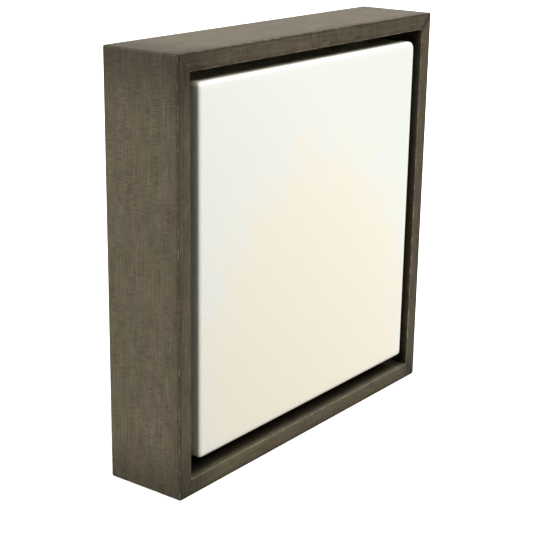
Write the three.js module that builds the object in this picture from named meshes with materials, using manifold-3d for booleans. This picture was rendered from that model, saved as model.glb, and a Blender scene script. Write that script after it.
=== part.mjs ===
// A square floating frame: a deep L-shaped wooden moulding with a stretched canvas
// fixed inside it, an open shadow gap all round the canvas, a little wider below it than
// above, and two D-ring hangers behind.
//
// Millimetres, +Z up. The front faces -Y. The origin is the centre of the underside,
// halfway through the moulding's depth.

import * as THREE from 'three';
import { mergeVertices } from 'three/addons/utils/BufferGeometryUtils.js';
import Module from 'manifold-3d';

const wasm = await Module();
wasm.setup();

// ---------------------------------------------------------------- driving dimensions

const OUTER = 235; // outside of the square frame, across and up
const DEPTH = 49; // moulding, front face to back face
const FACE = 9.5; // width of the moulding's front face
const REVEAL = 7.4; // shadow gap between the moulding and the canvas, at the sides
const CANVAS_RISE = 1.3; // how far the canvas sits above the middle of the frame
const RECESS = 0.4; // canvas face behind the moulding's front face
const CANVAS_DEPTH = 38.1;
const LIP_REACH = 17.5; // how far the back lip stands in from the moulding's wall
const ARRIS = 0.6; // eased edges along the moulding

const CLEARANCE = 0.3; // between pieces that are fitted together
const SEAT = 0.2; // between small hardware and the face it lies on

const CLOTH = 0.8; // thickness of the primed canvas
const CLOTH_EDGE = 2; // rounding where the cloth turns over the bars
const CLOTH_CORNER = 1.2; // extra rounding at the four upright corners
const CLOTH_TURN_IN = 17; // width of cloth turned over the back of the bars

const BAR_WIDTH = 20;
const BEAD_WIDTH = 3; // raised bead along the outer front edge of a bar
const BEAD_STEP = 2; // drop from the bead to the bar's face
const BAR_FALL = 4; // total drop of the bar's face at its inner edge
const TONGUE = 6; // thickness of the bridle tongues at a bar's ends
const TONGUE_DEPTH = 14; // middle of the first tongue, from the bar's front

const WEDGE_THICK = 2.4;
const WEDGE_IN = 11; // length of a wedge inside the bars, along the mitre
const WEDGE_OUT = 12; // length of a wedge standing out of the corner
const WEDGE_TIP = 2;
const WEDGE_BUTT = 8;
const WEDGE_FROM_BACK = 9; // middle of the wedges, from the back of the bars

const STAPLE_CROWN = 10.6;
const STAPLE_LEG = 6;
const STAPLE_WIRE = [1.2, 0.6]; // width and thickness of the flat wire
const STAPLE_PITCH = 60;
const STAPLE_INSET = 14.5; // from the edge of the canvas

const V_NAIL_LEG = 7;
const V_NAIL_THICK = 0.5;
const V_NAILS = [
  { name: 'outer', inset: 4, height: 10 },
  { name: 'inner', inset: 16, height: 5 },
];

const CANVAS_SCREW = { shank: 1.75, length: 19, head: 3.4, dome: 2.2, slot: 1.1 };
const CANVAS_SCREW_INSET = 5; // from the edge of the canvas
const HANGER_SCREW = { shank: 1.4, length: 8, head: 2.7, dome: 1.7, slot: 0.9 };

const HANGER_INSET = 14; // centre of a strap, from the outside of the frame
const HANGER_HEIGHT = 175; // height of the rings' pivots above the underside
const STRAP_WIDTH = 8;
const STRAP_PLATE = 0.9; // the strap is this plate, folded double round the ring
const STRAP_LENGTH = 24; // from the pivot to the round end
const STRAP_HOLE_FROM_END = 5;
const STRAP_ROLL_END = 140; // degrees round the pivot, from the strap's far side
const STRAP_FOLD = 2.3; // from the pivot to where the two thicknesses meet
const RING_WIRE = 0.9; // radius of the ring's wire
const RING_HALF_WIDTH = 5.9; // pivot centre to the middle of the wire, sideways
const RING_DROP = 9.8; // pivot centre to the middle of the wire, at the far end
const RING_REST_ANGLE = 6; // degrees off the vertical, where the ring lies on its strap

const BUMPER = { radius: 5, height: 2.6, inset: 12, fromCorner: 22 };

const HEAD_SIDE = 0.35; // share of a screw head's height that is straight side
const BUMPER_SIDE = 0.4; // the same for a bumper
const RECESS_REACH = 0.52; // half length of the cross recess, by the head's radius
const POINT_SLOPE = 1.8; // length of a screw's point, by the shank's radius

const WIRE_SIDES = 10;
const ROUND_SIDES = 16;
const DOME_STEPS = 4;
const RING_STEPS = 24;
const RING_BENDS = 10; // points round the ring's half circle
const KNUCKLE_SWELL = 1.03; // the wire is a little fuller at the ring's two corners
const MARGIN = 1; // how far a cutting shape runs past what it cuts

// ------------------------------------------------------------------- derived sizes

const HALF = OUTER / 2;
const FRONT = -DEPTH / 2;
const BACK = DEPTH / 2;
const MEMBER_WIDTH = FACE + LIP_REACH;
const CANVAS_HALF = HALF - FACE - REVEAL;
const CANVAS_FRONT = FRONT + RECESS;
const CANVAS_BACK = CANVAS_FRONT + CANVAS_DEPTH;
const LIP_FRONT = CANVAS_BACK + CLEARANCE;
const BAR_SKIN = CLOTH + CLEARANCE; // from the cloth's outer face to a bar
const BAR_HALF = CANVAS_HALF - BAR_SKIN;
const BAR_FRONT = CANVAS_FRONT + BAR_SKIN;
const BAR_BACK = CANVAS_BACK - BAR_SKIN;
const BAR_DEPTH = BAR_BACK - BAR_FRONT;
const PIVOT_OFF_BACK = SEAT + STRAP_PLATE + CLEARANCE + RING_WIRE;
const QUARTER = Math.PI / 2;

// ----------------------------------------------------------------------- materials

const finish = (color, roughness, metalness) =>
  new THREE.MeshStandardMaterial({ color, roughness, metalness });
const stainedWood = () => finish(0x665f50, 0.72, 0);
const primedCanvas = () => finish(0xf3f0e4, 0.9, 0);
const pine = () => finish(0xd9b98a, 0.75, 0);
const beech = () => finish(0xc79a66, 0.7, 0);
const zincSteel = () => finish(0xb9bcc0, 0.35, 1);
const brightWire = () => finish(0xc9cacc, 0.3, 1);
const rubber = () => finish(0x2a2a2b, 0.8, 0);

// ------------------------------------------------------------- solids and booleans

function solid(geometry) {
  const bare = geometry.clone();
  bare.deleteAttribute('normal');
  bare.deleteAttribute('uv');
  const merged = mergeVertices(bare);
  return new wasm.Manifold(
    new wasm.Mesh({
      numProp: 3,
      vertProperties: new Float32Array(merged.attributes.position.array),
      triVerts: new Uint32Array(merged.index.array),
    }),
  );
}

function geometryOf(body) {
  const mesh = body.getMesh();
  const geometry = new THREE.BufferGeometry();
  geometry.setAttribute('position', new THREE.BufferAttribute(mesh.vertProperties, 3));
  geometry.setIndex(new THREE.BufferAttribute(mesh.triVerts, 1));
  geometry.computeVertexNormals();
  return geometry;
}

const without = (body, cutters) => cutters.reduce((rest, cutter) => rest.subtract(cutter), body);
const joined = (bodies) => bodies.reduce((sum, body) => sum.add(body));

// A straight prism of an outline of [x, y] points, rising along Z from zero.
function prism(outline, length) {
  const shape = new THREE.Shape(outline.map(([x, y]) => new THREE.Vector2(x, y)));
  return new THREE.ExtrudeGeometry(shape, { depth: length, bevelEnabled: false });
}

// A bar along X, centred, from an outline of [distance in from the outside, distance
// behind the front] points. It lies at the bottom of a square ring round the origin.
function barAlongX(outline, length, half, front) {
  return prism(outline, length)
    .rotateY(-QUARTER)
    .translate(length / 2, front, -half);
}

// A prism of an outline of [x, z] points, from one depth to another.
function prismAlongY(outline, from, to) {
  return prism(outline, to - from)
    .rotateX(QUARTER)
    .translate(0, to, 0);
}

function box(low, high) {
  const [sx, sy, sz] = high.map((value, i) => value - low[i]);
  const middle = high.map((value, i) => (value + low[i]) / 2);
  return new THREE.BoxGeometry(sx, sy, sz).translate(...middle);
}

// Each corner of an outline cut back by the same small amount.
function eased(outline, cut) {
  const towards = (from, to) => {
    const step = cut / Math.hypot(to[0] - from[0], to[1] - from[1]);
    return [from[0] + (to[0] - from[0]) * step, from[1] + (to[1] - from[1]) * step];
  };
  return outline.flatMap((point, i) => {
    const before = outline[(i + outline.length - 1) % outline.length];
    const after = outline[(i + 1) % outline.length];
    return [towards(point, before), towards(point, after)];
  });
}

// The bottom quarter of a square ring, bounded by its two mitres.
function mitreBlock(half, width) {
  const back = (CLEARANCE / 2) * Math.SQRT2;
  const low = half + MARGIN;
  const high = half - width - MARGIN;
  const outline = [
    [-low + back, -low],
    [low - back, -low],
    [high - back, -high],
    [-high + back, -high],
  ];
  return solid(prismAlongY(outline, FRONT - MARGIN, BACK + MARGIN));
}

// ------------------------------------------------------------------------ fastenings

// The profile of a low dome, [radius, height] points from its rim to its top.
function domeProfile(radius, height, sideShare) {
  const side = height * sideShare;
  const points = [];
  for (let i = 0; i < DOME_STEPS; i += 1) {
    const angle = (QUARTER * i) / DOME_STEPS;
    points.push([radius * Math.cos(angle), side + (height - side) * Math.sin(angle)]);
  }
  return [...points, [0, height]];
}

const lathe = (profile) =>
  new THREE.LatheGeometry(profile.map(([r, y]) => new THREE.Vector2(r, y)), ROUND_SIDES);

// A pan-head screw along Y, its head's underside at y = 0 and its point at -length.
function screwGeometry({ shank, length, head, dome, slot }) {
  const tip = -length;
  const shoulder = tip + shank * POINT_SLOPE;
  const top = domeProfile(head, dome, HEAD_SIDE);
  const body = solid(lathe([[0, tip], [shank, shoulder], [shank, 0], [head, 0], ...top]));
  const reach = head * RECESS_REACH;
  const half = slot / 2;
  const floor = dome * HEAD_SIDE;
  const recess = [
    solid(box([-reach, floor, -half], [reach, dome + MARGIN, half])),
    solid(box([-half, floor, -reach], [half, dome + MARGIN, reach])),
  ];
  return geometryOf(without(body, recess));
}

// The space that a screw's shank needs, along Y from the underside of its head.
function screwHole({ shank, length }, x, seat, z) {
  const radius = shank + CLEARANCE;
  const deep = length + CLEARANCE;
  const hole = new THREE.CylinderGeometry(radius, radius, deep + MARGIN, ROUND_SIDES);
  return solid(hole.translate(x, seat + (MARGIN - deep) / 2, z));
}

// A V nail's plan, its corner on the mitre and one leg in each member.
function vNailOutline(inset, grow) {
  const corner = -HALF + inset - grow;
  const end = -HALF + inset + V_NAIL_LEG + grow;
  const inner = -HALF + inset + V_NAIL_THICK + grow;
  return [
    [corner, corner],
    [end, corner],
    [end, inner],
    [inner, inner],
    [inner, end],
    [corner, end],
  ];
}

const vNailGeometry = ({ inset, height }, grow = 0) =>
  prismAlongY(vNailOutline(inset, grow), BACK - SEAT - height - grow, BACK - SEAT + grow * 2);

// A staple across the cloth, its crown along X and its legs forward into the bar.
function stapleBoxes(x, grow) {
  const [wide, thick] = STAPLE_WIRE;
  const z = -CANVAS_HALF + STAPLE_INSET;
  const crownFront = CANVAS_BACK + SEAT;
  const legEnd = crownFront - STAPLE_LEG - grow;
  const half = STAPLE_CROWN / 2;
  const across = [z - wide / 2 - grow, z + wide / 2 + grow];
  const leg = (from, to) =>
    box([x + from - grow, legEnd, across[0]], [x + to + grow, crownFront + thick, across[1]]);
  return {
    crown: box([x - half, crownFront, across[0]], [x + half, crownFront + thick, across[1]]),
    legs: [leg(-half, -half + thick), leg(half - thick, half)],
  };
}

function stapleGeometry(x) {
  const { crown, legs } = stapleBoxes(x, 0);
  return geometryOf(joined([crown, ...legs].map(solid)));
}

const STAPLE_PLACES = [-STAPLE_PITCH, 0, STAPLE_PITCH];
const stapleHoles = () =>
  STAPLE_PLACES.flatMap((x) => stapleBoxes(x, CLEARANCE).legs.map(solid));

// ------------------------------------------------------------------ frame members

// One mitred member at the bottom of the ring, to be turned to its own side; hangerAt is
// where a hanger's screw enters its back, measured along the member.
function memberGeometry(turn, hangerAt) {
  const outline = eased(
    [
      [0, 0],
      [FACE, 0],
      [FACE, LIP_FRONT - FRONT],
      [MEMBER_WIDTH, LIP_FRONT - FRONT],
      [MEMBER_WIDTH, DEPTH],
      [0, DEPTH],
    ],
    ARRIS,
  );
  const moulding = solid(barAlongX(outline, OUTER, HALF, FRONT));
  const nails = V_NAILS.map((nail) => vNailGeometry(nail, CLEARANCE));
  const mirrored = nails.map((nail) => nail.clone().rotateY(-QUARTER));
  const cutters = [...nails, ...mirrored].map(solid);
  const along = -CANVAS_RISE * Math.sin(turn); // the canvas's rise, as this member sees it
  const inward = CANVAS_RISE * Math.cos(turn);
  const screwZ = -CANVAS_HALF + CANVAS_SCREW_INSET + inward;
  cutters.push(screwHole(CANVAS_SCREW, along, BACK, screwZ));
  if (hangerAt !== undefined) {
    cutters.push(screwHole(HANGER_SCREW, hangerAt, BACK, -HALF + HANGER_INSET));
  }
  return geometryOf(without(moulding.intersect(mitreBlock(HALF, MEMBER_WIDTH)), cutters));
}

// ---------------------------------------------------------------- stretched canvas

// A rounded slab the size of the canvas, shrunk by a skin on every side.
function canvasSlab(skin) {
  const round = CLOTH_EDGE - skin;
  const half = CANVAS_HALF - CLOTH_EDGE;
  const corner = CLOTH_CORNER;
  const outline = new THREE.Shape();
  outline.moveTo(-half + corner, -half);
  const signs = [[1, -1], [1, 1], [-1, 1], [-1, -1]];
  signs.forEach(([across, up], i) => {
    const centre = [across * (half - corner), up * (half - corner)];
    outline.absarc(...centre, corner, (i - 1) * QUARTER, i * QUARTER, false);
  });
  const slab = new THREE.ExtrudeGeometry(outline, {
    depth: CANVAS_DEPTH - 2 * CLOTH_EDGE,
    bevelThickness: round,
    bevelSize: round,
    bevelSegments: 3,
    curveSegments: 2,
  });
  return solid(slab.rotateX(QUARTER).translate(0, CANVAS_BACK - CLOTH_EDGE, 0));
}

// The cloth: a shallow tray with its edge turned in over the back of the bars.
function canvasGeometry() {
  const opening = CANVAS_HALF - CLOTH_TURN_IN;
  const low = CANVAS_BACK - CLOTH - MARGIN;
  const behind = solid(box([-opening, low, -opening], [opening, CANVAS_BACK + MARGIN, opening]));
  const sides = [0, 1, 2, 3].flatMap((turn) => {
    const screw = screwHole(CANVAS_SCREW, 0, BACK, -CANVAS_HALF + CANVAS_SCREW_INSET);
    return [screw, ...stapleHoles()].map((hole) => hole.rotate([0, turn * 90, 0]));
  });
  return geometryOf(without(canvasSlab(0), [canvasSlab(CLOTH), behind, ...sides]));
}

// A stretcher bar at the bottom of the ring. Each end has a bridle tongue that runs
// through its neighbour, and a socket for the neighbour's tongue.
function stretcherGeometry() {
  const outline = [
    [0, 0],
    [BEAD_WIDTH, 0],
    [BEAD_WIDTH + BEAD_STEP, BEAD_STEP],
    [BAR_WIDTH, BAR_FALL],
    [BAR_WIDTH, BAR_DEPTH],
    [0, BAR_DEPTH],
  ];
  const square = solid(barAlongX(outline, BAR_HALF * 2, BAR_HALF, BAR_FRONT));
  const bar = square.intersect(canvasSlab(BAR_SKIN));
  const inner = BAR_HALF - BAR_WIDTH;
  const layer = (side, centre, grow, shoulder) => {
    const low = BAR_FRONT + centre - TONGUE / 2 - grow;
    const high = BAR_FRONT + centre + TONGUE / 2 + grow;
    const ends = [side * shoulder, side * (BAR_HALF + MARGIN)].sort((a, b) => a - b);
    return solid(box([ends[0], low, -BAR_HALF - MARGIN], [ends[1], high, -inner + MARGIN]));
  };
  const first = TONGUE_DEPTH;
  const second = TONGUE_DEPTH + TONGUE + CLEARANCE;
  const tongues = [layer(-1, first, 0, inner), layer(1, second, 0, inner)];
  const socketEnd = inner - CLEARANCE;
  const sockets = [
    layer(-1, second, CLEARANCE / 2, socketEnd),
    layer(1, first, CLEARANCE / 2, socketEnd),
  ];
  const mitred = bar.intersect(mitreBlock(BAR_HALF, BAR_WIDTH));
  const shaped = joined([mitred, ...tongues.map((tongue) => bar.intersect(tongue))]);
  const slots = [wedgeSlot(), wedgeSlot().rotate([0, -90, 0])];
  const screw = screwHole(CANVAS_SCREW, 0, BACK, -CANVAS_HALF + CANVAS_SCREW_INSET);
  return geometryOf(without(shaped, [...sockets, ...slots, screw, ...stapleHoles()]));
}

// ------------------------------------------------------------------- corner wedges

// A wedge's plan in the bottom left corner. Along the mitre, outwards is positive;
// across it, the wedge lies on the side given by the sign.
function wedgeOutline(sign, grow) {
  const corner = -(BAR_HALF - BAR_WIDTH);
  const along = [-WEDGE_OUT, WEDGE_IN + grow];
  const near = grow > 0 ? 0 : CLEARANCE / 2;
  const plan = [
    [along[0], near],
    [along[1], near],
    [along[1], WEDGE_TIP + grow],
    [along[0], WEDGE_BUTT + grow],
  ];
  return plan.map(([d, n]) => [
    corner + (-d + n * sign) * Math.SQRT1_2,
    corner + (-d - n * sign) * Math.SQRT1_2,
  ]);
}

function wedgeGeometry(sign, grow = 0) {
  const middle = BAR_BACK - WEDGE_FROM_BACK;
  const half = WEDGE_THICK / 2 + grow;
  return prismAlongY(wedgeOutline(sign, grow), middle - half, middle + half);
}

const wedgeSlot = () => joined([-1, 1].map((sign) => solid(wedgeGeometry(sign, CLEARANCE))));

// -------------------------------------------------------------------- D-ring hanger

// The strap, its pivot at the origin: a plate rolled round the pivot and folded flat
// on the frame's back, with a round end and a hole for one screw.
function strapGeometry() {
  const roll = PIVOT_OFF_BACK - SEAT;
  const flat = STRAP_PLATE * 2;
  const side = new THREE.Shape();
  side.moveTo(0, -roll);
  side.absarc(0, 0, roll, -QUARTER, THREE.MathUtils.degToRad(STRAP_ROLL_END), false);
  side.lineTo(-STRAP_FOLD, -roll + flat);
  side.lineTo(-STRAP_LENGTH, -roll + flat);
  side.lineTo(-STRAP_LENGTH, -roll);
  const bore = new THREE.Path();
  bore.absarc(0, 0, RING_WIRE + CLEARANCE, 0, Math.PI * 2, true);
  side.holes.push(bore);
  const settings = { depth: STRAP_WIDTH, bevelEnabled: false, curveSegments: WIRE_SIDES };
  const rolled = new THREE.ExtrudeGeometry(side, settings)
    .translate(0, 0, -STRAP_WIDTH / 2)
    .rotateY(-QUARTER);
  const half = STRAP_WIDTH / 2;
  const plan = new THREE.Shape();
  plan.moveTo(half, roll + MARGIN);
  plan.lineTo(-half, roll + MARGIN);
  plan.absarc(0, -STRAP_LENGTH + half, half, Math.PI, Math.PI * 2, false);
  const reach = roll + MARGIN;
  const blank = new THREE.ExtrudeGeometry(plan, { depth: 2 * reach, bevelEnabled: false })
    .rotateX(QUARTER)
    .translate(0, reach, 0);
  const hole = screwHole(HANGER_SCREW, 0, roll, -STRAP_LENGTH + STRAP_HOLE_FROM_END);
  return geometryOf(solid(rolled).intersect(solid(blank)).subtract(hole));
}

// The ring hanging from its pivot along X: a straight bar and a U of the same wire.
function ringGeometry() {
  const straight = RING_DROP - RING_HALF_WIDTH;
  const points = [new THREE.Vector3(-RING_HALF_WIDTH, 0, 0)];
  for (let i = 0; i <= RING_BENDS; i += 1) {
    const angle = (Math.PI * i) / RING_BENDS;
    const x = -RING_HALF_WIDTH * Math.cos(angle);
    const z = -straight - RING_HALF_WIDTH * Math.sin(angle);
    points.push(new THREE.Vector3(x, 0, z));
  }
  points.push(new THREE.Vector3(RING_HALF_WIDTH, 0, 0));
  const path = new THREE.CatmullRomCurve3(points);
  const section = new THREE.Shape();
  section.absarc(0, 0, RING_WIRE, 0, Math.PI * 2, false);
  const settings = { steps: RING_STEPS, extrudePath: path, curveSegments: WIRE_SIDES / 2 };
  const loop = new THREE.ExtrudeGeometry(section, settings);
  const span = RING_HALF_WIDTH * 2;
  const bar = new THREE.CylinderGeometry(RING_WIRE, RING_WIRE, span, WIRE_SIDES)
    .rotateZ(QUARTER);
  const swollen = RING_WIRE * KNUCKLE_SWELL;
  const knuckle = (x) =>
    new THREE.SphereGeometry(swollen, WIRE_SIDES, WIRE_SIDES / 2).translate(x, 0, 0);
  const pieces = [loop, bar, knuckle(-RING_HALF_WIDTH), knuckle(RING_HALF_WIDTH)];
  return geometryOf(joined(pieces.map(solid)));
}

// --------------------------------------------------------------------------- bumper

// A rubber dome standing on the frame's back, its axis along Y.
function bumperGeometry() {
  const { radius, height } = BUMPER;
  return lathe([[0, 0], [radius, 0], ...domeProfile(radius, height, BUMPER_SIDE)]);
}

// ------------------------------------------------------------------------- assembly

function piece(name, geometry, material) {
  const mesh = new THREE.Mesh(geometry, material);
  mesh.name = name;
  return mesh;
}

const group = new THREE.Group();
const frameParts = new THREE.Group();
frameParts.position.z = HALF;
const canvasParts = new THREE.Group(); // the canvas, its bars and what is driven into them
canvasParts.position.z = HALF + CANVAS_RISE;
group.add(frameParts, canvasParts);

const fromCentre = HANGER_HEIGHT - STRAP_LENGTH + STRAP_HOLE_FROM_END - HALF;
const sides = [
  { side: 'bottom', member: 'bottom_rail', turn: 0 },
  { side: 'left', member: 'left_stile', turn: QUARTER, hangerAt: -fromCentre },
  { side: 'top', member: 'top_rail', turn: 2 * QUARTER },
  { side: 'right', member: 'right_stile', turn: 3 * QUARTER, hangerAt: fromCentre },
];

for (const { side, member, turn, hangerAt } of sides) {
  const wood = piece(member, memberGeometry(turn, hangerAt), stainedWood());
  wood.rotation.y = turn;
  frameParts.add(wood);
  const quarter = new THREE.Group();
  quarter.rotation.y = turn;
  quarter.add(piece(`stretcher_bar_${side}`, stretcherGeometry(), pine()));
  STAPLE_PLACES.forEach((x, i) => {
    quarter.add(piece(`staple_${side}_${i + 1}`, stapleGeometry(x), brightWire()));
  });
  const screw = piece(`canvas_screw_${side}`, screwGeometry(CANVAS_SCREW), zincSteel());
  screw.position.set(0, BACK + SEAT, -CANVAS_HALF + CANVAS_SCREW_INSET);
  quarter.add(screw);
  canvasParts.add(quarter);
}

const corners = ['bottom_left', 'top_left', 'top_right', 'bottom_right'];
corners.forEach((corner, i) => {
  const nails = new THREE.Group();
  nails.rotation.y = i * QUARTER;
  for (const nail of V_NAILS) {
    nails.add(piece(`v_nail_${corner}_${nail.name}`, vNailGeometry(nail), zincSteel()));
  }
  frameParts.add(nails);
  const wedges = new THREE.Group();
  wedges.rotation.y = i * QUARTER;
  [-1, 1].forEach((sign, j) => {
    wedges.add(piece(`corner_wedge_${corner}_${j + 1}`, wedgeGeometry(sign), beech()));
  });
  canvasParts.add(wedges);
});

canvasParts.add(piece('canvas', canvasGeometry(), primedCanvas()));

for (const [side, sign] of [['left', -1], ['right', 1]]) {
  const hanger = new THREE.Group();
  hanger.position.set(sign * (HALF - HANGER_INSET), BACK + PIVOT_OFF_BACK, HANGER_HEIGHT);
  hanger.add(piece(`hanger_strap_${side}`, strapGeometry(), zincSteel()));
  const dRing = piece(`d_ring_${side}`, ringGeometry(), zincSteel());
  dRing.rotation.x = THREE.MathUtils.degToRad(RING_REST_ANGLE);
  hanger.add(dRing);
  const screw = piece(`hanger_screw_${side}`, screwGeometry(HANGER_SCREW), zincSteel());
  const plateTop = 2 * STRAP_PLATE + 2 * SEAT - PIVOT_OFF_BACK;
  screw.position.set(0, plateTop, -STRAP_LENGTH + STRAP_HOLE_FROM_END);
  hanger.add(screw);
  group.add(hanger);

  const bumper = piece(`bumper_${side}`, bumperGeometry(), rubber());
  bumper.position.set(sign * (HALF - BUMPER.fromCorner), BACK + SEAT, BUMPER.inset);
  group.add(bumper);
}

export default group;
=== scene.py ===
import math

import bmesh
import bpy
from mathutils import Matrix, Vector, noise


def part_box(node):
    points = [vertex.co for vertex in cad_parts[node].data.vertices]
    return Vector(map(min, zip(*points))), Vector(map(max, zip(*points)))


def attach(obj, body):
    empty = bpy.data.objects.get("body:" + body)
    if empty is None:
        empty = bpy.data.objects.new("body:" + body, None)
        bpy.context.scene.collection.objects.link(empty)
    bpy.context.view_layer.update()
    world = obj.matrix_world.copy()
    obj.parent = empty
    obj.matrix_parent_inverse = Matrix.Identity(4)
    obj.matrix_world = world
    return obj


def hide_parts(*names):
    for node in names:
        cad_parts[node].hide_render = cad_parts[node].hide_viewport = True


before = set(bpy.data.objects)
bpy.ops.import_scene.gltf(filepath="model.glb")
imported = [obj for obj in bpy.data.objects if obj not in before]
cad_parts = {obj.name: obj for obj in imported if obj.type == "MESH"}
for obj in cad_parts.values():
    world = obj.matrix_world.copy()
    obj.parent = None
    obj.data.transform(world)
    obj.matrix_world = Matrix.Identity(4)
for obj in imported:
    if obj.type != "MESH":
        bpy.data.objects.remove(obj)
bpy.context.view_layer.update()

# ---------------------------------------------------------------- sizes, from the frame

MM = 0.001
SIDES = ["bottom", "left", "top", "right"]
MEMBERS = {"bottom": "bottom_rail", "left": "left_stile", "top": "top_rail", "right": "right_stile"}
CORNERS = ["bottom_left", "top_left", "top_right", "bottom_right"]

rail_low, rail_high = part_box("bottom_rail")
stile_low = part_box("left_stile")[0]
cloth_low, cloth_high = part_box("canvas")
HALF = -stile_low.x  # half of the frame's outer width, and the height of its centre
FRONT, BACK = rail_low.y, rail_high.y
SECTION = rail_high.z  # from the outer face to the edge of the back lip
FACE = 9.5 * MM  # width of the moulding's front edge
LIP_FRONT = cloth_high.y + 0.3 * MM  # the lip stands this far behind the canvas

CLOTH_HALF = cloth_high.x
CLOTH_MIDDLE = (cloth_low.z + cloth_high.z) / 2  # a little above the middle of the frame
CLOTH_FRONT, CLOTH_BACK = cloth_low.y, cloth_high.y

# ---------------------------------------------------------------- camera

LENS = 88.6
AZIMUTH, ELEVATION, ROLL = math.radians(-53.4), math.radians(17.63), math.radians(0.95)
DISTANCE = 0.7673  # from the camera to the plane of the front
VIEW_RIGHT, VIEW_UP = -0.0223, -0.02  # from the object's front centre to the middle of the view


def make_camera():
    data = bpy.data.cameras.new("camera")
    data.lens = LENS
    data.clip_start, data.clip_end = 0.05, 50
    camera = bpy.data.objects.new("camera", data)
    back = Vector((math.sin(AZIMUTH) * math.cos(ELEVATION), -math.cos(AZIMUTH) * math.cos(ELEVATION),
                   math.sin(ELEVATION)))
    level = Vector((math.cos(AZIMUTH), math.sin(AZIMUTH), 0))
    upright = back.cross(level)
    right = level * math.cos(ROLL) + upright * math.sin(ROLL)
    up = upright * math.cos(ROLL) - level * math.sin(ROLL)
    place = Vector((0, FRONT, HALF)) + back * DISTANCE + right * VIEW_RIGHT + up * VIEW_UP
    camera.matrix_world = Matrix.Translation(place) @ Matrix((right, up, back)).transposed().to_4x4()
    bpy.context.scene.collection.objects.link(camera)
    bpy.context.scene.camera = camera


make_camera()


# ---------------------------------------------------------------- node helpers


class Recipe:
    """A material being written: most methods add a node or two and return the socket they give."""

    def __init__(self, name):
        self.material = bpy.data.materials.new(name)
        self.material.use_nodes = True
        self.tree = self.material.node_tree
        self.shader = self.tree.nodes["Principled BSDF"]

    def add(self, kind, inputs=(), **settings):
        made = self.tree.nodes.new("ShaderNode" + kind)
        for key, value in settings.items():
            setattr(made, key, value)
        for key, value in dict(inputs).items():
            self.feed(made.inputs[key], value)
        return made

    def feed(self, socket, value):
        if isinstance(value, bpy.types.NodeSocket):
            self.tree.links.new(value, socket)
        else:
            socket.default_value = value

    def finish(self, **inputs):
        """Sets the shader's own sockets; an underscore in a name stands for a space."""
        for key, value in inputs.items():
            self.feed(self.shader.inputs[key.replace("_", " ")], value)
        return self.material

    def attribute(self, name):
        return self.add("Attribute", attribute_name=name)

    def place(self):
        """The point's place on the object, in millimetres."""
        coord = self.add("TexCoord").outputs["Object"]
        return self.scaled(coord, (1000, 1000, 1000))

    def scaled(self, vector, factors):
        return self.add("VectorMath", {0: vector, 1: factors}, operation="MULTIPLY").outputs[0]

    def shifted(self, vector, offset):
        return self.add("VectorMath", {0: vector, 1: offset}, operation="ADD").outputs[0]

    def noise(self, vector, factors, detail=2.0, roughness=0.5, offset=None):
        """Soft noise that changes along x, y and z at the rates given by the factors."""
        place = self.scaled(vector, factors)
        if offset:
            place = self.shifted(place, offset)
        inputs = {"Vector": place, "Scale": 1.0, "Detail": detail, "Roughness": roughness}
        return self.add("TexNoise", inputs).outputs["Fac"]

    def ramp(self, value, low, high, start=0.0, end=1.0, kind="SMOOTHSTEP"):
        """Goes from start to end while the value goes from low to high, and stays level outside them."""
        inputs = {"Value": value, "From Min": low, "From Max": high, "To Min": start, "To Max": end}
        return self.add("MapRange", inputs, interpolation_type=kind).outputs["Result"]

    def linear(self, value, low, high, start, end):
        """A ramp in a straight line."""
        return self.ramp(value, low, high, start, end, "LINEAR")

    def maths(self, operation, a, b=0.0):
        return self.add("Math", {0: a, 1: b}, operation=operation).outputs[0]

    def mix(self, share, a, b, blend="MIX"):
        made = self.add("Mix", data_type="RGBA", blend_type=blend)
        self.feed(made.inputs[0], share)
        self.feed(made.inputs[6], a)
        self.feed(made.inputs[7], b)
        return made.outputs[2]

    def times(self, colour, factor):
        return self.mix(1.0, colour, factor, "MULTIPLY")

    def bump(self, height, distance, strength):
        inputs = {"Height": height, "Distance": distance, "Strength": strength}
        return self.add("Bump", inputs).outputs[0]


def rgb(red, green, blue):
    """A colour given as 0 to 255 screen values."""
    def linear(value):
        value /= 255
        return value / 12.92 if value <= 0.04045 else ((value + 0.055) / 1.055) ** 2.4
    return linear(red), linear(green), linear(blue), 1.0


# ---------------------------------------------------------------- materials


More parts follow.
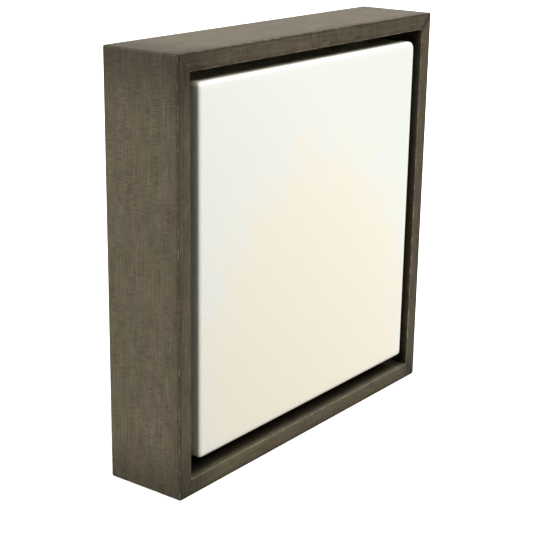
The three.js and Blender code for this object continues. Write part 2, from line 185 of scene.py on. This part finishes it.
def stained_wood():
    """Brown-grey stain on fine sawn wood: grain along the member, saw marks across it, worn arrises,
    painted shade deep in the shadow gap and a painted highlight on the top rail's lower inner arris.
    """
    brown, warmer, greyer, bare_wood_and_highlight = rgb(91, 84, 66), rgb(94, 84, 68), rgb(90, 85, 76), rgb(192, 180, 152)
    r = Recipe("stained_wood")
    grain = r.attribute("grain").outputs["Vector"]
    streaks = r.noise(grain, (0.035, 1.1, 1.1), 3.0, 0.6)
    fine = r.noise(grain, (0.16, 3.4, 3.4), 2.0, 0.65)
    saw = r.noise(grain, (1.5, 0.16, 0.16), 2.0, 0.6)
    cloud = r.noise(grain, (0.07, 0.16, 0.16), 3.0, 0.6, offset=(5.0, 0.0, 2.0))
    where_sawn = r.ramp(r.noise(grain, (0.045, 0.09, 0.09), 1.0), 0.35, 0.62, 0.35, 1.0)
    zones = r.add("SeparateXYZ", {0: r.attribute("zones").outputs["Vector"]}).outputs
    front, painted_gap_shade, rim = zones[0], zones[1], zones[2]
    where_sawn = r.maths("MULTIPLY", where_sawn, r.ramp(front, 0.0, 1.0, 1.0, 0.6))
    warm = r.noise(grain, (0.02, 0.07, 0.07), 2.0, offset=(7.0, 3.0, 1.0))
    cool = r.noise(grain, (0.035, 0.1, 0.1), 2.0, offset=(2.0, 9.0, 5.0))
    colour = r.mix(r.ramp(warm, 0.35, 0.65), brown, warmer)
    colour = r.mix(r.ramp(cool, 0.5, 0.72, 0.0, 0.4), colour, greyer)
    colour = r.times(colour, r.linear(streaks, 0.3, 0.7, 0.78, 1.2))
    colour = r.times(colour, r.linear(fine, 0.3, 0.7, 0.78, 1.2))
    colour = r.times(colour, r.linear(cloud, 0.3, 0.7, 0.86, 1.12))
    brushed = r.linear(r.noise(grain, (0.05, 1.7, 1.7), 4.0, 0.65), 0.3, 0.7, 0.7, 1.26)
    colour = r.mix(front, colour, r.times(colour, brushed))
    sawn = r.times(colour, r.linear(saw, 0.35, 0.65, 0.74, 1.2))
    colour = r.mix(where_sawn, colour, sawn)
    stain = r.attribute("stain").outputs["Fac"]
    colour = r.times(colour, r.ramp(stain, 0.0, 1.0, 1.0, 0.56))
    seam = r.ramp(r.attribute("mitre").outputs["Fac"], 0.1, 0.45, 0.86, 1.0)
    colour = r.times(colour, seam)
    # painted shade: the wood darkens deep in the shadow gap, where shade falls
    colour = r.times(colour, r.ramp(painted_gap_shade, 0.0, 1.0, 1.0, 0.26))
    colour = r.times(colour, r.linear(rim, 0.0, 1.0, 1.0, 0.78))
    colour = r.times(colour, r.ramp(rim, 0.8, 0.92, 1.0, 0.66))
    # pale bare wood on worn arrises; on the top rail's lower inner arris it is also a painted highlight
    worn = r.ramp(r.noise(grain, (0.16, 0.6, 0.6), 5.0, 0.75), 0.46, 0.64, 0.08, 0.9)
    wear_and_highlight = r.maths("MULTIPLY", r.attribute("wear_and_highlight").outputs["Fac"], worn)
    colour = r.mix(wear_and_highlight, colour, bare_wood_and_highlight)
    rough = r.ramp(fine, 0.3, 0.7, 0.5, 0.66)
    height = r.maths("ADD", r.maths("MULTIPLY", saw, where_sawn), r.maths("MULTIPLY", fine, 0.8))
    height = r.maths("ADD", height, streaks)
    normal = r.bump(height, distance=0.06 * MM, strength=0.7)
    return r.finish(Base_Color=colour, Roughness=rough, Normal=normal, Specular_IOR_Level=0.17)


WEAVE_PITCH = 1.1  # millimetres in which a thread passes over and under once
CREAM_CENTRE = (0.0, 75.0, 0.0)  # added to a place on the cloth, it measures from the creamiest place


def woven(r, cloth):
    """The height of a plain weave, from -1 to 1."""
    parts = r.add("SeparateXYZ", {0: cloth}).outputs
    turn = 2 * math.pi / WEAVE_PITCH
    warp = r.maths("SINE", r.maths("MULTIPLY", parts[0], turn))
    weft = r.maths("SINE", r.maths("MULTIPLY", parts[1], turn))
    return r.maths("MULTIPLY", warp, weft)


def primed_canvas():
    """Plain-weave cotton under white primer, creamier below the middle, with painted shade darkening it
    towards the lower left, and raw where it has no primer.
    """
    cream, white, unprimed = rgb(248, 241, 223), rgb(241, 243, 235), rgb(216, 207, 183)
    r = Recipe("primed_canvas")
    cloth = r.attribute("cloth").outputs["Vector"]
    wobble = r.add("TexNoise", {"Vector": cloth, "Scale": 0.35, "Detail": 1.0}).outputs["Color"]
    weave = woven(r, r.shifted(cloth, r.scaled(wobble, (0.5, 0.5, 0.5))))
    speck = r.noise(cloth, (0.8, 0.8, 0.8), 3.0, 0.7)
    flat = r.add("SeparateXYZ", {0: cloth}).outputs
    painted_shade_slope = r.maths("ADD", flat[0], flat[1])
    from_centre = r.scaled(r.shifted(cloth, CREAM_CENTRE), (0.72, 0.6, 1.0))
    distance = r.add("VectorMath", {0: from_centre}, operation="LENGTH").outputs["Value"]
    blotch = r.noise(cloth, (0.045, 0.045, 0.045), 2.0, offset=(3.0, 1.0, 0.0))
    paler = r.maths("ADD", distance, r.linear(blotch, 0.25, 0.75, -11.0, 11.0))
    colour = r.mix(r.ramp(paler, 56.0, 90.0), cream, white)
    # painted shade: the face darkens towards the lower left, as if lit from the upper right
    colour = r.times(colour, r.linear(painted_shade_slope, -190.0, 90.0, 0.8, 1.0))
    colour = r.times(colour, r.linear(speck, 0.3, 0.7, 0.93, 1.05))
    colour = r.times(colour, r.linear(weave, -1.0, 1.0, 0.98, 1.01))
    colour = r.mix(r.attribute("raw").outputs["Fac"], colour, unprimed)
    height = r.maths("ADD", r.maths("MULTIPLY", weave, 0.5), speck)
    normal = r.bump(height, distance=0.05 * MM, strength=0.6)
    rough = r.ramp(speck, 0.3, 0.7, 0.72, 0.88)
    return r.finish(Base_Color=colour, Roughness=rough, Normal=normal, Specular_IOR_Level=0.25)


def raw_cotton():
    """The unprimed back of the canvas: cream yarns, uneven in weight, with flecks of seed."""
    dark, pale, seed = rgb(206, 192, 162), rgb(220, 208, 182), rgb(120, 98, 66)
    r = Recipe("raw_cotton")
    cloth = r.attribute("cloth").outputs["Vector"]
    weave = woven(r, cloth)
    uneven = r.noise(cloth, (0.05, 0.9, 1.0), 2.0)
    across = r.noise(cloth, (0.9, 0.05, 1.0), 2.0)
    colour = r.mix(r.ramp(uneven, 0.35, 0.65), dark, pale)
    colour = r.times(colour, r.linear(across, 0.35, 0.65, 0.93, 1.04))
    colour = r.times(colour, r.linear(weave, -1.0, 1.0, 0.86, 1.04))
    fleck = r.ramp(r.noise(cloth, (0.5, 0.9, 1.0), 3.0, 0.7), 0.68, 0.74)
    colour = r.mix(fleck, colour, seed)
    rough = r.ramp(uneven, 0.3, 0.7, 0.85, 0.95)
    normal = r.bump(r.maths("ADD", weave, uneven), distance=0.12 * MM, strength=0.8)
    return r.finish(Base_Color=colour, Roughness=rough, Normal=normal, Specular_IOR_Level=0.15)


FIBRE_RATE = 14  # the fibres are this much finer than the figure


def bare_timber(name, stretch, pale, dark, rings):
    """Planed wood with no finish. Stretch says how fast its figure changes along x, y and z."""
    handled = rgb(132, 108, 78)
    r = Recipe(name)
    place = r.place()
    figure = r.noise(place, stretch, 2.0, 0.45)
    bands = r.maths("PINGPONG", r.maths("MULTIPLY", figure, rings), 1.0)
    late = r.ramp(bands, 0.45, 0.95)
    fibre = r.noise(place, [FIBRE_RATE * f for f in stretch], 3.0, 0.65)
    soft = r.noise(place, (0.03, 0.03, 0.03), 2.0, offset=(1.0, 6.0, 3.0))
    colour = r.mix(late, pale, dark)
    colour = r.times(colour, r.linear(fibre, 0.3, 0.7, 0.86, 1.08))
    colour = r.times(colour, r.linear(soft, 0.3, 0.7, 0.92, 1.05))
    grime = r.ramp(r.noise(place, (0.11, 0.11, 0.11), 4.0, 0.7, offset=(8.0, 2.0, 4.0)), 0.58, 0.76)
    colour = r.mix(r.maths("MULTIPLY", grime, 0.35), colour, handled)
    rough = r.ramp(fibre, 0.3, 0.7, 0.6, 0.78)
    height = r.maths("ADD", fibre, r.maths("MULTIPLY", late, 0.5))
    normal = r.bump(height, distance=0.08 * MM, strength=0.7)
    return r.finish(Base_Color=colour, Roughness=rough, Normal=normal, Specular_IOR_Level=0.25)


def plated_steel(name, clean, dull, tarnish, smooth):
    """Bright plated steel: cloudy plating, fine handling scratches and a few duller spots."""
    r = Recipe(name)
    place = r.place()
    cloud = r.noise(place, (0.6, 0.6, 0.6), 3.0, 0.6)
    grit = r.noise(place, (3.0, 3.0, 3.0), 3.0, 0.6)
    scratch = r.noise(place, (7.0, 7.0, 0.7), 2.0, 0.7)
    spots = r.ramp(r.noise(place, (0.9, 0.9, 0.9), 4.0, 0.7, offset=(4.0, 2.0, 8.0)), 0.57, 0.72)
    colour = r.mix(r.ramp(cloud, 0.35, 0.7), clean, dull)
    colour = r.times(colour, r.linear(grit, 0.3, 0.7, 0.9, 1.05))
    colour = r.mix(r.maths("MULTIPLY", spots, 0.7), colour, tarnish)
    rough = r.ramp(cloud, 0.3, 0.7, smooth, smooth + 0.14)
    rough = r.maths("ADD", rough, r.maths("MULTIPLY", spots, 0.25))
    normal = r.bump(r.maths("ADD", grit, scratch), distance=0.03 * MM, strength=0.6)
    return r.finish(Base_Color=colour, Metallic=1.0, Roughness=rough, Normal=normal)


def moulded_rubber():
    """Dark, slightly mottled rubber with patches of dust."""
    black, charcoal, dusty = rgb(34, 34, 35), rgb(46, 46, 47), rgb(104, 100, 94)
    r = Recipe("bumper_rubber")
    place = r.place()
    pores = r.noise(place, (2.6, 2.6, 2.6), 3.0, 0.6)
    dust = r.ramp(r.noise(place, (0.5, 0.5, 0.5), 4.0, 0.7), 0.45, 0.7)
    colour = r.mix(r.ramp(pores, 0.35, 0.65), black, charcoal)
    colour = r.mix(r.maths("MULTIPLY", dust, 0.4), colour, dusty)
    rough = r.ramp(pores, 0.3, 0.7, 0.55, 0.75)
    normal = r.bump(pores, distance=0.05 * MM, strength=0.6)
    return r.finish(Base_Color=colour, Roughness=rough, Normal=normal, Specular_IOR_Level=0.4)


# ---------------------------------------------------------------- mesh helpers


def around(side, along, inward, depth):
    """A point on the given side of the square ring, from its place along, inward and in depth."""
    a, b = along, inward - HALF
    turned = {"bottom": (a, b), "left": (b, -a), "top": (-a, -b), "right": (-b, a)}[side]
    return Vector((turned[0], depth, turned[1] + HALF))


def ease_corner(a, b, half, radius):
    """Rounds the corners of a square of the given half width: moves (a, b) in towards the centre."""
    start = half - radius
    da, db = abs(a) - start, abs(b) - start
    if da <= 0 or db <= 0:
        return a, b
    share = max(da, db) / math.hypot(da, db)
    return math.copysign(start + da * share, a), math.copysign(start + db * share, b)


def rounded_outline(corners, steps, spacing):
    """The outline through corners (u, y, radius, wear and highlight), as points (u, y, wear and
    highlight); long flats are divided.
    """
    points = []
    count = len(corners)
    for i in range(count):
        here, before, after = (Vector(corners[j % count][:2]) for j in (i, i - 1, i + 1))
        radius, wear_and_highlight = corners[i][2:]
        to_before, to_after = (before - here).normalized(), (after - here).normalized()
        centre = here + (to_before + to_after) * radius
        for s in range(steps + 1):
            angle = s / steps * math.pi / 2
            p = centre - (to_after * math.cos(angle) + to_before * math.sin(angle)) * radius
            points.append((p.x, p.y, wear_and_highlight * math.sin(2 * angle)))
        leave = here + to_after * radius
        reach = after - to_after * corners[(i + 1) % count][2]
        pieces = max(1, round((reach - leave).length / spacing))
        for s in range(1, pieces):
            p = leave.lerp(reach, s / pieces)
            points.append((p.x, p.y, 0.0))
    return points


def new_mesh(name, verts, faces):
    """A mesh whose faces all look outward."""
    mesh = bpy.data.meshes.new(name)
    mesh.from_pydata(verts, [], faces)
    work = bmesh.new()
    work.from_mesh(mesh)
    bmesh.ops.recalc_face_normals(work, faces=work.faces)
    work.to_mesh(mesh)
    work.free()
    return mesh


def on_frame(name, mesh, material):
    """A piece that belongs to the frame's body."""
    made = bpy.data.objects.new(name, mesh)
    bpy.context.scene.collection.objects.link(made)
    mesh.materials.append(material)
    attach(made, "frame")
    return made


def set_attribute(mesh, name, kind, values):
    attribute = mesh.attributes.new(name, kind, "POINT")
    key = "vector" if kind == "FLOAT_VECTOR" else "value"
    flat = [c for v in values for c in v] if kind == "FLOAT_VECTOR" else values
    attribute.data.foreach_set(key, flat)


# ---------------------------------------------------------------- moulding

MITRE_GAP = 0.05 * MM  # each member stops this far short of its mitres
MITRE_ENDS = [e * MM for e in (0, 0.1, 0.25, 0.45, 0.7, 1.0, 1.4, 2.4)]  # loops this far from a mitre
CORNER_RADIUS = 1.1 * MM  # of the frame's four outer corners
STATIONS = 64  # lengths between the loops that belong to the mitres
FRONT_SKIN = 0.2 * MM  # a point this close behind the front counts as front
WALL_SKIN = 0.01 * MM  # and this close to the gap's wall as inside of the gap
RIM_REACH = 9 * MM  # the stain is darker this far from the outer front arris
# painted shade: the gap's walls are painted darker with depth, where shade falls
GAP_SHADE_REACH = 6.5 * MM  # inside the gap it is darkest from here back
DIP = 0.12 * MM  # how deep sanding has worn the arrises at most
DIP_RATE = 0.16  # how fast that changes along them, per millimetre
OUTER_WEAR = 0.32  # of the outer front arris
# on the top rail this is far above wear alone: a painted highlight along its lower arris, on top of its
# wear
INNER_WEAR_AND_HIGHLIGHT = {"bottom": 0.25, "left": 0.3, "top": 3.0, "right": 0.8}  # of the arris at the shadow gap
# how much the front shows brushing along its grain
BRUSHED = {"bottom": 0.2, "left": 1.0, "top": 0.2, "right": 0.8}
# the stain is darker this far from each corner's mitre
STAIN_REACH = {"bottom_left": 32 * MM, "top_left": 38 * MM, "top_right": 4 * MM, "bottom_right": 12 * MM}


def place_along(station, last, reach):
    """Where a loop crosses a line of the moulding that runs from mitre to mitre, from -reach to reach."""
    ends = MITRE_ENDS
    if station < len(ends):
        return -reach + ends[station]
    if station > last - len(ends):
        return reach - ends[last - station]
    body = reach - ends[-1]
    return -body + 2 * body * (station - len(ends) + 1) / STATIONS


def wood_zones(side, u, y):
    """How far a point of the profile counts as brushed front, as painted shade deep in the gap and as
    front rim.
    """
    front = BRUSHED[side] if y < FRONT + FRONT_SKIN else 0
    in_gap = u > FACE - WALL_SKIN and y < LIP_FRONT + MM
    painted_gap_shade = min(1, (y - FRONT) / GAP_SHADE_REACH) if in_gap else 0
    rim = max(0, 1 - math.hypot(u, y - FRONT) / RIM_REACH)
    return front, painted_gap_shade, rim


def member(side, number, material):
    """One mitred length of the L-shaped moulding, its arrises sanded by hand and a little uneven."""
    outline = rounded_outline([  # distance from the outer face, depth, radius of the arris, its wear and painted highlight
        (0, FRONT, 0.45 * MM, OUTER_WEAR),
        (FACE, FRONT, 0.5 * MM, INNER_WEAR_AND_HIGHLIGHT[side]),
        (FACE, LIP_FRONT, 0.4 * MM, 0.0),
        (SECTION, LIP_FRONT, 0.5 * MM, 0.1),
        (SECTION, BACK, 0.6 * MM, 0.3),
        (0, BACK, 0.8 * MM, 0.15),
    ], steps=4, spacing=2.5 * MM)
    count = len(outline)
    last = 2 * len(MITRE_ENDS) + STATIONS - 2
    verts, grain, wear_and_highlight, mitre, stain, zones = [], [], [], [], [], []
    # the multiples of number give every member its own dips and its own grain
    for station in range(last + 1):
        for u, y, worn in outline:
            reach = HALF - u - MITRE_GAP
            along = place_along(station, last, reach)
            place = Vector((along / MM, u / MM, y / MM + 40 * number))
            dip = min(worn, 1) * (0.5 + 0.5 * noise.noise(place * DIP_RATE)) * DIP
            inward = u + (dip if u < FACE / 2 else -dip)
            depth = y + (dip if y < 0 else -dip)
            a, b = ease_corner(along, inward - HALF, HALF, CORNER_RADIUS)
            verts.append(around(side, a, b + HALF, depth))
            grain.append((along / MM + 300 * number, u / MM, y / MM + 70 * number))
            wear_and_highlight.append(worn)
            zones.append(wood_zones(side, u, y))
            from_mitre = reach - abs(along)
            mitre.append(from_mitre / MM)
            corner = CORNERS[number if along < 0 else number - 1]
            stain.append(max(0, 1 - from_mitre / STAIN_REACH[corner]))
    faces = []
    for i in range(last):
        for j in range(count):
            k = (j + 1) % count
            faces.append((i * count + j, (i + 1) * count + j, (i + 1) * count + k, i * count + k))
    faces.append(tuple(range(count)))
    faces.append(tuple(last * count + j for j in reversed(range(count))))
    name = MEMBERS[side]
    mesh = new_mesh(name + "_stained", verts, faces)
    set_attribute(mesh, "grain", "FLOAT_VECTOR", grain)
    set_attribute(mesh, "wear_and_highlight", "FLOAT", wear_and_highlight)
    set_attribute(mesh, "mitre", "FLOAT", mitre)
    set_attribute(mesh, "stain", "FLOAT", stain)
    set_attribute(mesh, "zones", "FLOAT_VECTOR", zones)
    mesh.shade_smooth()
    mesh.set_sharp_from_angle(angle=math.radians(40))
    made = on_frame(name + "_stained", mesh, material)
    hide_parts(name)


wood = stained_wood()
for number, side in enumerate(SIDES):
    member(side, number, wood)


# ---------------------------------------------------------------- canvas

CLOTH_GRID = 80  # squares across the face
CLOTH_EDGE = 1.5 * MM  # how deep the cloth's rolled edges are
CLOTH_ROLL = 2.1 * MM  # how far they reach across the face
CLOTH_THICK = 0.6 * MM
ROLL_STEPS, SIDE_STEPS, TURN_IN_STEPS = 6, 12, 20
TURN_IN = 17 * MM
PRIMED_SIDE = 2.6 * MM  # the primer goes this far round onto the sides, and has faded out at twice that
FOLD_REACH = 10 * MM  # behind each corner the cloth is folded double this far along the upright bar
FOLD_SLANT = 0.25  # and this share of the inset further
FOLD_RISE = 0.45 * MM
RAGGED = 0.35 * MM  # how uneven the cloth's cut edge is
RAGGED_RATE = 400  # how fast that changes along it, per metre
SAME = 1e-7  # lengths closer than this are one length
SHARPEST = 0.2 * MM  # the cloth's corners are at least this round
CORNER_RADII = {
    "bottom_left": 1.8 * MM,
    "top_left": 1.8 * MM,
    "top_right": 5.0 * MM,
    "bottom_right": 1.6 * MM,
}
# the inset at which the turned-in strip leaves the lip all round
LIP_COVER = CLOTH_HALF - (HALF - SECTION) + CLOTH_MIDDLE - HALF + 0.5 * MM


def cloth_path():
    """The cloth's way from the face's rim round the bar to its raw edge: (inset, depth, run along it)."""
    quarter = [s / ROLL_STEPS * math.pi / 2 for s in range(1, ROLL_STEPS + 1)]
    path = []
    for angle in quarter:
        inset = CLOTH_ROLL * (1 - math.sin(angle))
        path.append((inset, CLOTH_FRONT + CLOTH_EDGE * (1 - math.cos(angle)), CLOTH_ROLL * angle))
    run = path[-1][2]
    depth = CLOTH_FRONT + CLOTH_EDGE
    wall = CLOTH_BACK - CLOTH_FRONT - 2 * CLOTH_EDGE
    for s in range(1, SIDE_STEPS + 1):
        way = wall * s / SIDE_STEPS
        path.append((0, depth + way, run + way))
    run += wall
    for angle in quarter:
        inset = CLOTH_EDGE * (1 - math.cos(angle))
        path.append((inset, CLOTH_BACK - CLOTH_EDGE * (1 - math.sin(angle)), run + CLOTH_EDGE * angle))
    run = path[-1][2]
    turned = TURN_IN - CLOTH_EDGE
    for s in range(1, TURN_IN_STEPS + 1):
        way = turned * s / TURN_IN_STEPS
        path.append((CLOTH_EDGE + way, CLOTH_BACK, run + way))
    return path


def outward_run(value, rim, run):
    """How far the cloth has run on past the rim in one direction: nothing where it isn't on that rim."""
    return math.copysign(run, value) if abs(abs(value) - rim) < SAME else 0.0


def canvas(material, inner_material):
    """Stretched cloth: the face, the four sides, and the strip turned in and stapled behind."""
    rim = CLOTH_HALF - CLOTH_ROLL
    size = CLOTH_GRID + 1
    verts, cloth, raw = [], [], []

    def put(a, b, half, depth, cloth_a, cloth_b, rawness):
        corner = ("bottom_" if b < 0 else "top_") + ("left" if a < 0 else "right")
        a, b = ease_corner(a, b, half, max(CORNER_RADII[corner] - (CLOTH_HALF - half), SHARPEST))
        verts.append(Vector((a, depth, b + CLOTH_MIDDLE)))
        cloth.append((cloth_a / MM, cloth_b / MM, 0.0))
        raw.append(rawness)

    for j in range(size):
        for i in range(size):
            a, b = (-rim + 2 * rim * k / CLOTH_GRID for k in (i, j))
            put(a, b, rim, CLOTH_FRONT, a, b, 0.0)
    faces = []
    for j in range(CLOTH_GRID):
        for i in range(CLOTH_GRID):
            v = j * size + i
            faces.append((v, v + 1, v + 1 + size, v + size))
    rim_loop = list(range(size))
    rim_loop += [j * size + CLOTH_GRID for j in range(1, size)]
    rim_loop += [CLOTH_GRID * size + i for i in range(CLOTH_GRID - 1, -1, -1)]
    rim_loop += [j * size for j in range(CLOTH_GRID - 1, 0, -1)]
    loop = rim_loop
    path = cloth_path()
    for step, (inset, depth, run) in enumerate(path):
        half = CLOTH_HALF - inset
        rawness = min(1, max(0, (run - PRIMED_SIDE) / PRIMED_SIDE))
        fresh = []
        for v in rim_loop:
            a, b = cloth[v][0] * MM, cloth[v][1] * MM
            ragged = 0.0
            if step == len(path) - 1:
                ragged = RAGGED * noise.noise(Vector((a, b, 0)) * RAGGED_RATE)
            scale = (half + ragged) / half * (half / rim)
            lap = abs(a * scale) - abs(b * scale)  # above zero on the strips behind the upright bars
            folded = 0 < lap < FOLD_REACH + FOLD_SLANT * inset and inset > LIP_COVER
            rise = FOLD_RISE if folded else 0.0
            out_a, out_b = outward_run(a, rim, run), outward_run(b, rim, run)
            put(a * scale, b * scale, half, depth + rise, a + out_a, b + out_b, rawness)
            fresh.append(len(verts) - 1)
        for i in range(len(loop)):
            k = (i + 1) % len(loop)
            faces.append((loop[i], fresh[i], fresh[k], loop[k]))
        loop = fresh
    mesh = new_mesh("canvas_cloth", verts, faces)
    set_attribute(mesh, "cloth", "FLOAT_VECTOR", cloth)
    set_attribute(mesh, "raw", "FLOAT", raw)
    mesh.shade_smooth()
    made = on_frame("canvas_cloth", mesh, material)
    mesh.materials.append(inner_material)
    solid = made.modifiers.new("thickness", "SOLIDIFY")
    solid.thickness = CLOTH_THICK
    solid.offset = -1
    solid.material_offset = 1
    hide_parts("canvas")


canvas(primed_canvas(), raw_cotton())


# ---------------------------------------------------------------- bars, wedges and metalwork


def finish_node(name, material, bevel=0.0):
    """Gives a CAD node its material, smooth curves and, by modifiers alone, softened edges."""
    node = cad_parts[name]
    node.data.materials.clear()
    node.data.materials.append(material)
    node.data.shade_smooth()
    node.data.set_sharp_from_angle(angle=math.radians(35))
    if bevel:
        flat = node.modifiers.new("whole faces", "DECIMATE")
        flat.decimate_type = "DISSOLVE"
        flat.angle_limit = math.radians(0.5)
        ease = node.modifiers.new("eased edges", "BEVEL")
        ease.width = bevel
        ease.segments = 2
        ease.angle_limit = math.radians(40)
        ease.harden_normals = True


V_NAIL_STEPS = 20
RIB_PITCH, RIB_DEPTH = 1.4 * MM, 0.08 * MM
V_NAIL_THICK = 0.5 * MM
V_NAIL_PROUD = 0.06 * MM  # its top edge stands out of the wood this far


def v_nail(corner, row, material):
    """A ribbed steel V pressed into the mitre from behind."""
    node = "v_nail_" + corner + "_" + row
    low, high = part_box(node)
    out_x = -1 if "left" in corner else 1
    out_z = -1 if "bottom" in corner else 1
    apex_x, apex_z = (low.x if out_x < 0 else high.x), (low.z if out_z < 0 else high.z)
    leg = high.x - low.x
    outer, inner = [], []
    for s in range(V_NAIL_STEPS + 1):
        far = leg * s / V_NAIL_STEPS
        wave = RIB_DEPTH * (1 - math.cos(2 * math.pi * far / RIB_PITCH)) / 2
        outer.append((far, wave))
        inner.append((max(far, V_NAIL_THICK), V_NAIL_THICK - RIB_DEPTH + wave))
    outline = outer[::-1] + [(b, a) for a, b in outer[1:]]
    outline += [(b, a) for a, b in reversed(inner)] + inner[1:]
    top = BACK + V_NAIL_PROUD
    verts = []
    for depth in (low.y, top - 0.1 * MM, top):
        for a, b in outline:
            verts.append((apex_x - out_x * a, depth, apex_z - out_z * b))
    count = len(outline)
    faces = [tuple(range(count)), tuple(range(3 * count - 1, 2 * count - 1, -1))]
    for layer in (0, count):
        for i in range(count):
            k = (i + 1) % count
            faces.append((layer + i, layer + k, layer + count + k, layer + count + i))
    mesh = new_mesh(node + "_pressed", verts, faces)
    made = on_frame(node + "_pressed", mesh, material)
    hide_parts(node)


PINE_PALE, PINE_DARK = rgb(226, 196, 150), rgb(196, 152, 98)
pine_level = bare_timber("bare_pine_level", (0.006, 0.09, 0.07), PINE_PALE, PINE_DARK, 16)
pine_upright = bare_timber("bare_pine_upright", (0.07, 0.09, 0.006), PINE_PALE, PINE_DARK, 16)
beech = bare_timber("beech", (0.05, 0.25, 0.05), rgb(206, 160, 114), rgb(178, 128, 84), 7)
zinc = plated_steel("zinc_steel", rgb(205, 207, 208), rgb(176, 178, 179), rgb(128, 122, 112), 0.26)
nail_steel = plated_steel("nail_steel", rgb(190, 192, 194), rgb(158, 160, 162), rgb(112, 100, 88), 0.34)
staple_wire = plated_steel(
    "staple_wire", rgb(214, 212, 204), rgb(184, 182, 176), rgb(136, 126, 108), 0.24)
rubber = moulded_rubber()

for side in SIDES:
    level = side in ("bottom", "top")
    finish_node("stretcher_bar_" + side, pine_level if level else pine_upright, 0.4 * MM)
    finish_node("canvas_screw_" + side, zinc)
    for i in (1, 2, 3):
        finish_node(f"staple_{side}_{i}", staple_wire, 0.16 * MM)
for corner in CORNERS:
    for i in (1, 2):
        finish_node(f"corner_wedge_{corner}_{i}", beech, 0.25 * MM)
    for row in ("outer", "inner"):
        v_nail(corner, row, nail_steel)
for side in ("left", "right"):
    finish_node("hanger_strap_" + side, zinc, 0.22 * MM)
    finish_node("hanger_screw_" + side, zinc)
    finish_node("d_ring_" + side, zinc)
    finish_node("bumper_" + side, rubber)


# ---------------------------------------------------------------- floor and light

FLOOR_SQUARES = 56
FLOOR_REACH = 7
FLOOR_FLAT = 2.5  # the floor is flat this far out
FLOOR_SWEEP = 0.25  # how steeply it curves up from there
BACKDROP = Vector((0.77, 0.6, 0.25)).normalized()  # the way to the palest part of the studio


def make_floor():
    """A pale floor that sweeps up into a backdrop all round, out of the way of the object's light."""
    work = bmesh.new()
    bmesh.ops.create_grid(work, x_segments=FLOOR_SQUARES, y_segments=FLOOR_SQUARES, size=FLOOR_REACH)
    for vert in work.verts:
        out = max(0, math.hypot(vert.co.x, vert.co.y) - FLOOR_FLAT)
        vert.co.z = FLOOR_SWEEP * out ** 2
    mesh = bpy.data.meshes.new("floor")
    work.to_mesh(mesh)
    work.free()
    floor = bpy.data.objects.new("floor", mesh)
    floor.location.z = -0.1 * MM  # just clear of the object's underside
    mesh.shade_smooth()
    pale = {"Base_Color": (0.9, 0.9, 0.9, 1), "Roughness": 0.9}
    glow = {"Emission_Color": (1, 1, 1, 1), "Emission_Strength": 0.45}
    mesh.materials.append(Recipe("floor").finish(**pale, **glow))
    bpy.context.scene.collection.objects.link(floor)
    floor.visible_diffuse = False
    floor.visible_glossy = False
    floor.visible_shadow = False


def soft_sun(name, towards, spread, strength):
    """A broad, distant soft box: spread is the angle it fills, in degrees, and towards the way to it."""
    data = bpy.data.lights.new(name, "SUN")
    data.angle = math.radians(spread)
    data.energy = strength
    lamp = bpy.data.objects.new(name, data)
    lamp.rotation_mode = "QUATERNION"
    lamp.rotation_quaternion = Vector(towards).to_track_quat("Z", "Y")
    bpy.context.scene.collection.objects.link(lamp)


def make_world():
    """A pale backdrop behind the object and to its right, fading to a dim room by the camera."""
    world = bpy.data.worlds.new("studio")
    world.use_nodes = True
    tree = world.node_tree
    coord = tree.nodes.new("ShaderNodeTexCoord")
    facing = tree.nodes.new("ShaderNodeVectorMath")
    facing.operation = "DOT_PRODUCT"
    facing.inputs[1].default_value = BACKDROP
    fade = tree.nodes.new("ShaderNodeMapRange")
    fade.interpolation_type = "SMOOTHSTEP"
    for key, value in {"From Min": 0.45, "From Max": 0.95, "To Min": 0.03, "To Max": 1.0}.items():
        fade.inputs[key].default_value = value
    background = tree.nodes["Background"]
    background.inputs["Color"].default_value = (1, 1, 1, 1)
    tree.links.new(coord.outputs["Generated"], facing.inputs[0])
    tree.links.new(facing.outputs["Value"], fade.inputs["Value"])
    tree.links.new(fade.outputs["Result"], background.inputs["Strength"])
    bpy.context.scene.world = world


def make_light():
    make_world()
    soft_sun("key", (0.25, -0.5, 1), 48, 4.05)  # from above, a little to the front and right
    soft_sun("fill", (-0.09, -1, 0), 8, 1.5)  # from straight in front
    soft_sun("side", (-1, 0.4, 0.5), 44, 4.1)  # from the left, a little above and behind
    bpy.context.scene.view_settings.view_transform = "Standard"


make_floor()
make_light()
